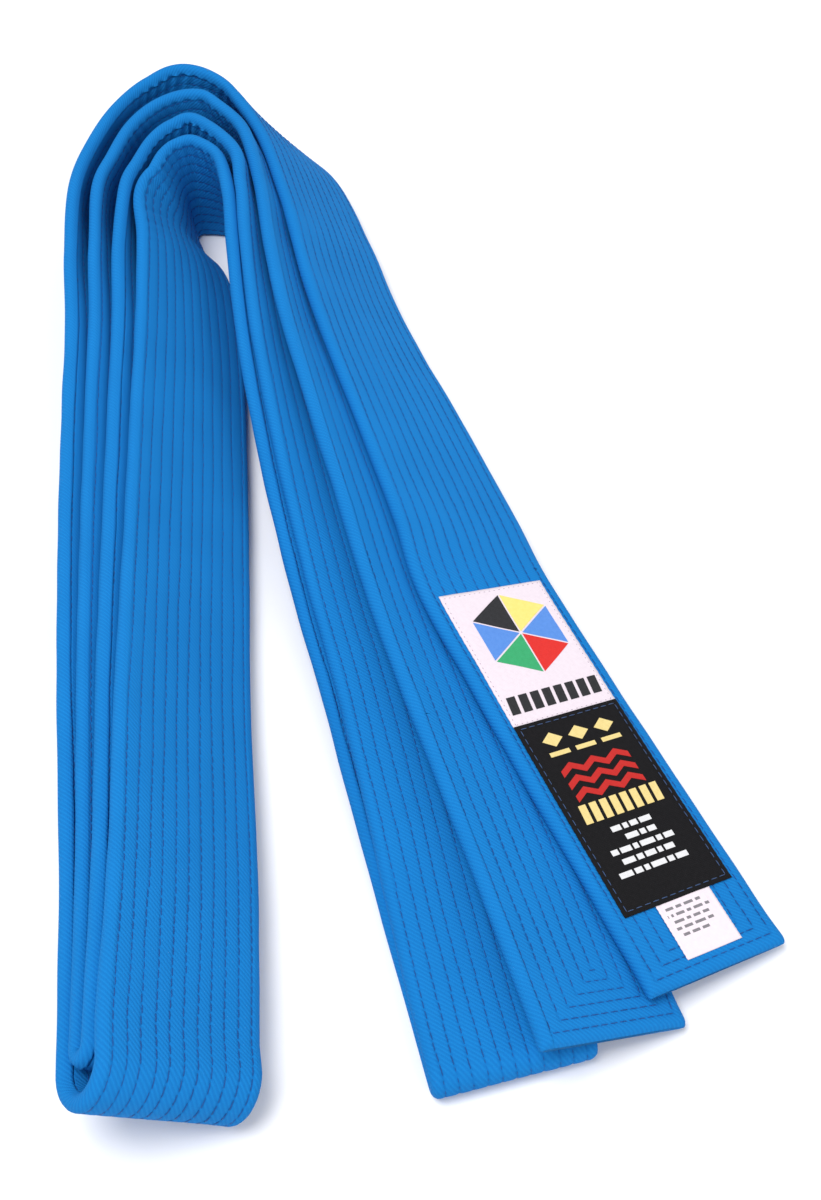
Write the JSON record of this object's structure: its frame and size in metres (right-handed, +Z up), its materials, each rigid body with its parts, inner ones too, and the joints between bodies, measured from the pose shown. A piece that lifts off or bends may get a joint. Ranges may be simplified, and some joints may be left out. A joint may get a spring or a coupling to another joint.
{
  "type": "martial arts belt",
  "caption": "Folded and curved martial arts belt of quilted blue twill with two sewn labels and a small care label near one end.",
  "frame": {"origin": "centre of the folded belt on the surface it lies on", "axes": "+Z up, +Y from the folded and free ends towards the bend, +X towards the labelled end"},
  "size_m": [0.2015, 0.3684, 0.0407],
  "materials": {
    "cover_cloth": "azure cotton twill, quilted in eleven rows",
    "core_cotton": "plain unbleached cotton",
    "approval_satin": "white woven satin with a small coloured motif",
    "brand_weave": "black woven label with gold, red and white motifs",
    "care_ribbon": "thin white printed ribbon"
  },
  "bodies": {
    "left_leg": {"left_outer_cover": "cover_cloth", "left_outer_ply_1": "core_cotton", "left_outer_ply_2": "core_cotton", "left_outer_ply_3": "core_cotton", "left_inner_cover": "cover_cloth", "left_inner_ply_1": "core_cotton", "left_inner_ply_2": "core_cotton", "left_inner_ply_3": "core_cotton"},
    "right_leg": {"right_fold_cover": "cover_cloth", "right_fold_ply_1": "core_cotton", "right_fold_ply_2": "core_cotton", "right_fold_ply_3": "core_cotton", "plain_strip_cover": "cover_cloth", "plain_strip_ply_1": "core_cotton", "plain_strip_ply_2": "core_cotton", "plain_strip_ply_3": "core_cotton", "labelled_strip_cover": "cover_cloth", "labelled_strip_ply_1": "core_cotton", "labelled_strip_ply_2": "core_cotton", "labelled_strip_ply_3": "core_cotton"},
    "plain_end": {"plain_end_cover": "cover_cloth", "plain_end_ply_1": "core_cotton", "plain_end_ply_2": "core_cotton", "plain_end_ply_3": "core_cotton", "plain_end_tuck": "cover_cloth"},
    "labelled_end": {"labelled_end_cover": "cover_cloth", "labelled_end_ply_1": "core_cotton", "labelled_end_ply_2": "core_cotton", "labelled_end_ply_3": "core_cotton", "labelled_end_tuck": "cover_cloth", "approval_label": "approval_satin", "brand_label": "brand_weave", "care_tab": "care_ribbon"},
    "care_label": {"care_flap": "care_ribbon"}
  },
  "joints": [
    {"name": "bend_opening", "type": "hinge", "parent": "left_leg", "child": "right_leg", "pos_m": [-0.06862, 0.18109, 0.02], "axis": [0, 0, 1], "range_deg": [0, 15]},
    {"name": "labelled_end_lift", "type": "hinge", "parent": "right_leg", "child": "labelled_end", "pos_m": [0.02947, -0.02917, 0.01677], "axis": [-0.9145, -0.3037, 0.2672], "range_deg": [0, 50]},
    {"name": "plain_end_lift", "type": "hinge", "parent": "right_leg", "child": "plain_end", "pos_m": [0.02867, -0.07351, 0.01417], "axis": [-0.8776, -0.3078, 0.3675], "range_deg": [0, 20]},
    {"name": "care_flap_lift", "type": "hinge", "parent": "labelled_end", "child": "care_label", "pos_m": [0.07597, -0.12503, 0.01029], "axis": [-0.8792, -0.4393, 0.1844], "range_deg": [0, 140]}
  ],
  "couplings": [
    {"joint": "plain_end_lift", "follows": "labelled_end_lift", "ratio": 0.4}
  ]
}
